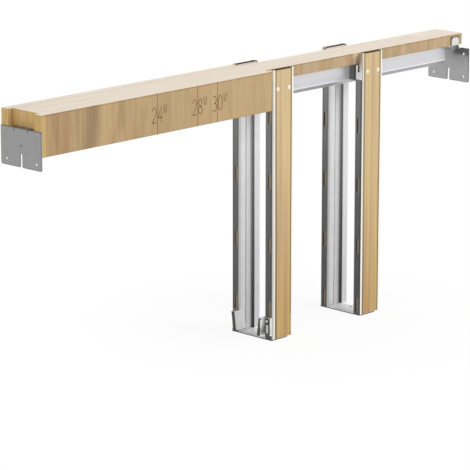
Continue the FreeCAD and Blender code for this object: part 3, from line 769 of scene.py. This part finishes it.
def track_aluminium(name):
    """Extruded aluminium: fine die lines along the track, a cool even grey, and painted shade on the lower
    bevels.
    """
    made = Finish(name, 0.34, 0.5)
    z = made.at(2)
    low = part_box("track")[0]
    die_lines = made.noise((5.0, 900.0, 900.0), 3.0)
    cloud = made.noise((12.0, 40.0, 40.0), 2.0)
    base = made.ramp(cloud, (0.35, colour(210, 213, 220)), (0.65, colour(220, 219, 222)))
    # Painted shade on the lower bevels.
    bevel = made.all_of(made.facing(1, 0.5), made.spread(z, low.z + 5.6 * MM, low.z + 5.8 * MM, 1.0, 0.0))
    base = made.paint(base, bevel, grey(172))
    for pair in PAIRS:
        # Painted light on the front beside each clip, against its shade.
        shaded = made.near(made.at(0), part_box(f"stud_clip_front_{pair}")[0].x, 2 * MM, 40 * MM)
        base = made.paint(base, made.all_of(shaded, made.facing(1)), grey(255), 0.8)
    # Painted light on the upper front.
    rising = made.all_of(made.spread(z, low.z + 16 * MM, low.z + 32 * MM), made.facing(1))
    base = made.paint(base, rising, grey(248), 0.6)
    # A painted highlight line above the bevels.
    base = made.paint(base, made.near(z, low.z + 7.0 * MM, 0.7 * MM, 0.5 * MM), grey(242))
    base = made.shade(base, die_lines, 0.96, 1.02)
    rough = made.spread(die_lines, 0.3, 0.7, 0.28, 0.44)
    return made.finish(base, die_lines, 0.00008, rough)


def ink(name):
    """Brown ink that the grain shows through."""
    made = Finish(name, 0.6, specular=0.3)
    worn = made.noise((500.0, 500.0, 160.0), 3.0)
    base = made.ramp(worn, (0.3, colour(104, 80, 44)), (0.7, colour(140, 112, 70)))
    return made.finish(base, worn, 0.00005)


def bright_zinc(name):
    """Nail and screw heads: bright, slightly warm zinc."""
    made = Finish(name, 0.3, 0.5)
    cloud = made.noise((900.0, 900.0, 900.0), 2.0)
    base = made.ramp(cloud, (0.3, colour(236, 230, 212)), (0.7, colour(250, 246, 232)))
    return made.finish(base, cloud, 0.00004, made.spread(cloud, 0.3, 0.7, 0.24, 0.4))


def dress(node, material):
    """Gives a CAD node its finish."""
    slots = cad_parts[node].data.materials
    slots.clear()
    slots.append(material)


def soften(node, width):
    """Rounds the edges of a CAD node a little, without a change to its mesh."""
    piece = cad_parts[node]
    weld = piece.modifiers.new("weld", "WELD")
    weld.merge_threshold = 0.01 * MM
    bevel = piece.modifiers.new("bevel", "BEVEL")
    bevel.width = width
    bevel.segments = 2
    bevel.limit_method = "ANGLE"
    bevel.angle_limit = math.radians(SHARP_ANGLE)
    piece.modifiers.new("flat faces", "WEIGHTED_NORMAL")


def add_mesh(name, mesh_maker, material):
    """A piece of the frame from a bmesh, which rides on it."""
    shape = bmesh.new()
    mesh_maker(shape)
    bmesh.ops.recalc_face_normals(shape, faces=shape.faces)
    mesh = bpy.data.meshes.new(name)
    shape.to_mesh(mesh)
    shape.free()
    mesh.materials.append(material)
    piece = bpy.data.objects.new(name, mesh)
    bpy.context.scene.collection.objects.link(piece)
    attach(piece, "root")
    return piece


def screw_head(shape, centre, way, radius, proud, recess):
    """A domed head that looks along way, with a cross recess of that depth, or none."""
    way = Vector(way)
    across = way.orthogonal().normalized()
    other = way.cross(across)
    arm = RECESS_ARM * radius
    loops = []
    for ring in range(HEAD_RINGS + 1):
        share = ring / HEAD_RINGS
        loop = []
        for step in range(HEAD_STEPS):
            turn = 2 * math.pi * step / HEAD_STEPS
            u = radius * share * math.cos(turn)
            v = radius * share * math.sin(turn)
            rise = proud * math.sqrt(max(0.0, 1 - share ** 4))
            if min(abs(u), abs(v)) < arm and share < RECESS_REACH:
                rise -= recess
            loop.append(shape.verts.new(Vector(centre) + across * u + other * v + way * rise))
        loops.append(loop)
    for inner, outer in zip(loops, loops[1:]):
        for step in range(HEAD_STEPS):
            following = (step + 1) % HEAD_STEPS
            shape.faces.new((inner[step], outer[step], outer[following], inner[following]))
    bmesh.ops.remove_doubles(shape, verts=loops[0], dist=0.001 * MM)
    for face in shape.faces:
        face.smooth = True


def ribbon(shape, points, width, front, thick):
    """A flat stroke through the points (x, z), on the plane y = front, with square ends."""
    closed = points[0] == points[-1]
    path = [Vector(p) for p in points]
    if closed:
        path = path[:-1]
    rails = []
    for i, point in enumerate(path):
        before = path[i - 1] if i or closed else point
        after = path[(i + 1) % len(path)] if i + 1 < len(path) or closed else point
        first = (point - before).normalized() if point != before else (after - point).normalized()
        second = (after - point).normalized() if after != point else first
        middle = (first + second).normalized()
        side = Vector((-middle.y, middle.x))
        reach = width / 2 / max(0.5, side.dot(Vector((-second.y, second.x))))
        corner = []
        for sign in (-1, 1):
            for depth in (0.0, thick):
                at = point + side * reach * sign
                corner.append(shape.verts.new((at.x, front + depth, at.y)))
        rails.append(corner)
    pairs = list(zip(rails, rails[1:]))
    if closed:
        pairs.append((rails[-1], rails[0]))
    for here, there in pairs:
        for a, b in ((0, 1), (1, 3), (3, 2), (2, 0)):
            shape.faces.new((here[a], here[b], there[b], there[a]))
    if not closed:
        for end in (rails[0], rails[-1]):
            shape.faces.new((end[0], end[1], end[3], end[2]))


def arc(centre, radii, start, stop, steps=18):
    """Points on an ellipse, from one angle to another, in degrees."""
    points = []
    for i in range(steps + 1):
        turn = math.radians(start + (stop - start) * i / steps)
        points.append((centre[0] + radii[0] * math.cos(turn), centre[1] + radii[1] * math.sin(turn)))
    return points


# Each digit is a few strokes in a box one wide and one high.
DIGITS = {
    "0": [arc((0.5, 0.5), (0.46, 0.5), 0, 342, 18) + [(0.96, 0.5)]],
    "2": [arc((0.5, 0.72), (0.46, 0.28), 170, -28) + [(0.06, 0.0), (1.0, 0.0)]],
    "3": [arc((0.42, 0.76), (0.46, 0.24), 140, -90) + arc((0.42, 0.26), (0.52, 0.26), 90, -140)],
    "4": [[(0.74, 0.0), (0.74, 1.0), (0.02, 0.3), (1.02, 0.3)]],
    "8": [arc((0.5, 0.76), (0.38, 0.24), 0, 342, 18) + [(0.88, 0.76)],
          arc((0.5, 0.26), (0.47, 0.26), 0, 342, 18) + [(0.97, 0.26)]],
}


def add_marks(material):
    """The measuring marks of the front board: an upright line and a figure in inches for each width."""
    low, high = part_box("nailer_front")
    front = low.y - INK_THICK
    for text, line in MARKS.items():
        def strokes(shape):
            ribbon(shape, [(line, low.z), (line, high.z)], LINE_WIDTH, front, INK_THICK)
            for start, digit in zip(DIGIT_STARTS, text):
                for stroke in DIGITS[digit]:
                    at = [(line + start + u * DIGIT_WIDTH, high.z - DIGIT_TOP - (1 - v) * DIGIT_HEIGHT)
                          for u, v in stroke]
                    ribbon(shape, at, STROKE, front, INK_THICK)
            for head, foot in INCH_STROKES:
                top = high.z - INCH_TOP
                inch = [(line + head, top), (line + foot, top - INCH_HEIGHT)]
                ribbon(shape, inch, STROKE, front, INK_THICK)

        add_mesh(f"mark_{text}_inches", strokes, material)


def add_stud_nails(material):
    """Two bright nail heads near the top of each stud, front and back."""
    for side, sign in SIDES.items():
        for pair in PAIRS:
            low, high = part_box(f"stud_core_{side}_{pair}")
            face = high.y if sign > 0 else low.y
            for number, share in enumerate(NAIL_SHARES, 1):
                centre = (low.x + (high.x - low.x) * share, face, high.z - NAIL_DROP)
                add_mesh(f"stud_nail_{side}_{pair}_{number}",
                         lambda shape: screw_head(shape, centre, (0, sign, 0), NAIL_RADIUS, NAIL_PROUD, 0.0),
                         material)


def add_end_nails(material):
    """The nails that hold the left plate to the nailers sit flush in its two upper holes."""
    low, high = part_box("end_bracket_left")
    for side, sign in SIDES.items():
        centre = (low.x + END_NAIL_SUNK, END_NAIL_SIDE * sign, high.z - END_NAIL_DROP)
        add_mesh(f"end_nail_{side}",
                 lambda shape: screw_head(shape, centre, LEFTWARD, END_NAIL_RADIUS, END_NAIL_PROUD, 0.0),
                 material)


def add_guide_screws(material):
    """A cross-recessed screw through the flange of each door guide, into the side of the stud."""
    for side, sign in SIDES.items():
        low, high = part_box(f"stud_channel_{side}_1")
        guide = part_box(f"door_guide_{side}")
        near = low.y if sign > 0 else high.y
        centre = (low.x - GUIDE_FLANGE, near + GUIDE_SCREW_IN * sign, guide[0].z + GUIDE_SCREW_UP)
        add_mesh(f"guide_screw_{side}",
                 lambda shape: screw_head(shape, centre, LEFTWARD, GUIDE_SCREW_RADIUS, GUIDE_SCREW_PROUD,
                                          GUIDE_SCREW_RECESS),
                 material)


def make_stage():
    """A white floor that keeps a faint shadow, and a white world."""
    floor_mesh = bpy.data.meshes.new("floor")
    half = FLOOR_SIZE / 2
    corners = [(x, y, 0.0) for x, y in ((-half, -half), (half, -half), (half, half), (-half, half))]
    floor_mesh.from_pydata(corners, [], [(0, 1, 2, 3)])
    floor = bpy.data.objects.new("floor", floor_mesh)
    bpy.context.scene.collection.objects.link(floor)

    material = bpy.data.materials.new("floor_white")
    material.use_nodes = True
    tree = material.node_tree
    tree.nodes.clear()
    lit = tree.nodes.new("ShaderNodeBsdfDiffuse")
    lit.inputs["Color"].default_value = grey(FLOOR_GREY)
    glow = tree.nodes.new("ShaderNodeEmission")
    glow.inputs["Strength"].default_value = 1.0
    blend = tree.nodes.new("ShaderNodeMixShader")
    where = tree.nodes.new("ShaderNodeNewGeometry")
    reach = tree.nodes.new("ShaderNodeVectorMath")
    reach.operation = "DISTANCE"
    tree.links.new(where.outputs["Position"], reach.inputs[0])
    reach.inputs[1].default_value = FLOOR_SHADOW_CENTRE
    share = tree.nodes.new("ShaderNodeMapRange")
    span = {"From Min": FLOOR_SHADOW_NEAR, "From Max": FLOOR_SHADOW_FAR, "To Min": 1 - FLOOR_SHADOW_SHARE}
    for name, value in span.items():
        share.inputs[name].default_value = value
    tree.links.new(reach.outputs["Value"], share.inputs["Value"])
    kept = tree.nodes.new("ShaderNodeMath")
    kept.operation = "MULTIPLY"
    tree.links.new(seen_directly(tree), kept.inputs[0])
    tree.links.new(share.outputs[0], kept.inputs[1])
    tree.links.new(kept.outputs[0], blend.inputs[0])
    tree.links.new(lit.outputs[0], blend.inputs[1])
    tree.links.new(glow.outputs[0], blend.inputs[2])
    output = tree.nodes.new("ShaderNodeOutputMaterial")
    tree.links.new(blend.outputs[0], output.inputs[0])
    floor_mesh.materials.append(material)

    world = bpy.data.worlds.new("studio")
    world.use_nodes = True
    bpy.context.scene.world = world
    tree = world.node_tree
    background = tree.nodes["Background"]
    background.inputs["Color"].default_value = (1.0, 1.0, 1.0, 1.0)
    level = tree.nodes.new("ShaderNodeMapRange")
    level.inputs["To Min"].default_value = AMBIENT_LEVEL
    level.inputs["To Max"].default_value = 1.0
    tree.links.new(seen_directly(tree), level.inputs["Value"])
    tree.links.new(level.outputs[0], background.inputs["Strength"])


def seen_directly(tree):
    """1 for the rays that see the background, direct or in a mirror or glass, and else 0."""
    path = tree.nodes.new("ShaderNodeLightPath")
    seen = path.outputs["Is Camera Ray"]
    for name in ("Is Glossy Ray", "Is Transmission Ray"):
        either = tree.nodes.new("ShaderNodeMath")
        either.operation = "MAXIMUM"
        tree.links.new(seen, either.inputs[0])
        tree.links.new(path.outputs[name], either.inputs[1])
        seen = either.outputs[0]
    return seen


def add_lamp(name, level, come_from):
    """A large square lamp that lights a white card that faces it to that level."""
    data = bpy.data.lights.new(name, "AREA")
    data.shape = "SQUARE"
    data.size = LAMP_SIZE
    data.energy = level * math.pi * math.pi * LAMP_DISTANCE ** 2
    lamp = bpy.data.objects.new(name, data)
    lamp.location = CAMERA_TARGET + toward(*come_from) * LAMP_DISTANCE
    lamp.rotation_euler = (CAMERA_TARGET - lamp.location).to_track_quat("-Z", "Y").to_euler()
    bpy.context.scene.collection.objects.link(lamp)


def add_camera():
    """The camera in the place of the photograph's."""
    data = bpy.data.cameras.new("camera")
    data.sensor_fit = "HORIZONTAL"
    data.sensor_width = CAMERA_SENSOR
    data.lens = CAMERA_LENS
    data.clip_end = CAMERA_SIGHT
    camera = bpy.data.objects.new("camera", data)
    camera.location = CAMERA_TARGET + toward(CAMERA_AZIMUTH, CAMERA_ELEVATION) * CAMERA_DISTANCE
    camera.rotation_euler = (CAMERA_TARGET - camera.location).to_track_quat("-Z", "Y").to_euler()
    bpy.context.scene.collection.objects.link(camera)
    bpy.context.scene.camera = camera


def dress_frame():
    """Gives every node of the frame its finish, and the boards and stud cores a slight rounding of their
    edges.
    """
    boards = ("header_board", "header_packing", "nailer_front", "nailer_back")
    for seed, node in enumerate(boards):
        dress(node, beam_wood(f"{node}_wood", *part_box(node), 3.7 * seed, node.startswith("nailer")))
        soften(node, BOARD_ROUNDING)
    for side, out in SIDES.items():
        for pair in PAIRS:
            low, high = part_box(f"stud_channel_{side}_{pair}")
            channel = f"stud_channel_{side}_{pair}"
            dress(channel, channel_steel(f"{channel}_steel", low, high, out, pair))
            slot = low.y + SLOT_IN[side, pair] if out < 0 else high.y - SLOT_IN[side, pair]
            core = f"stud_core_{side}_{pair}"
            dress(core, stud_wood(f"{core}_wood", *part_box(core), out, pair, slot))
            soften(core, CORE_ROUNDING)
            strap = f"stud_strap_{side}_{pair}"
            dress(strap, strap_steel(f"{strap}_steel", low, high, out, pair))
            dress(f"stud_clip_{side}_{pair}", clip_steel(f"clip_steel_{side}_{pair}"))
        dress(f"door_guide_{side}", guide_steel(f"door_guide_{side}"))
    dress("track", track_aluminium("track_aluminium"))
    dress("end_bracket_left", left_bracket_steel("left_bracket_steel"))
    dress("end_bracket_right", right_bracket_steel("right_bracket_steel"))
    for pair in PAIRS:
        dress(f"floor_plate_{pair}", floor_steel(f"floor_plate_{pair}_steel"))


make_stage()
add_lamp("key", KEY_LEVEL, KEY_FROM)
add_lamp("top", TOP_LEVEL, TOP_FROM)
add_camera()
dress_frame()
add_marks(ink("mark_ink"))
add_stud_nails(bright_zinc("nail_zinc"))
add_end_nails(sheet_steel("end_nail_steel", END_NAIL_GREY))
add_guide_screws(sheet_steel("guide_screw_steel", GUIDE_SCREW_GREY))
bpy.context.scene.view_settings.view_transform = "Standard"
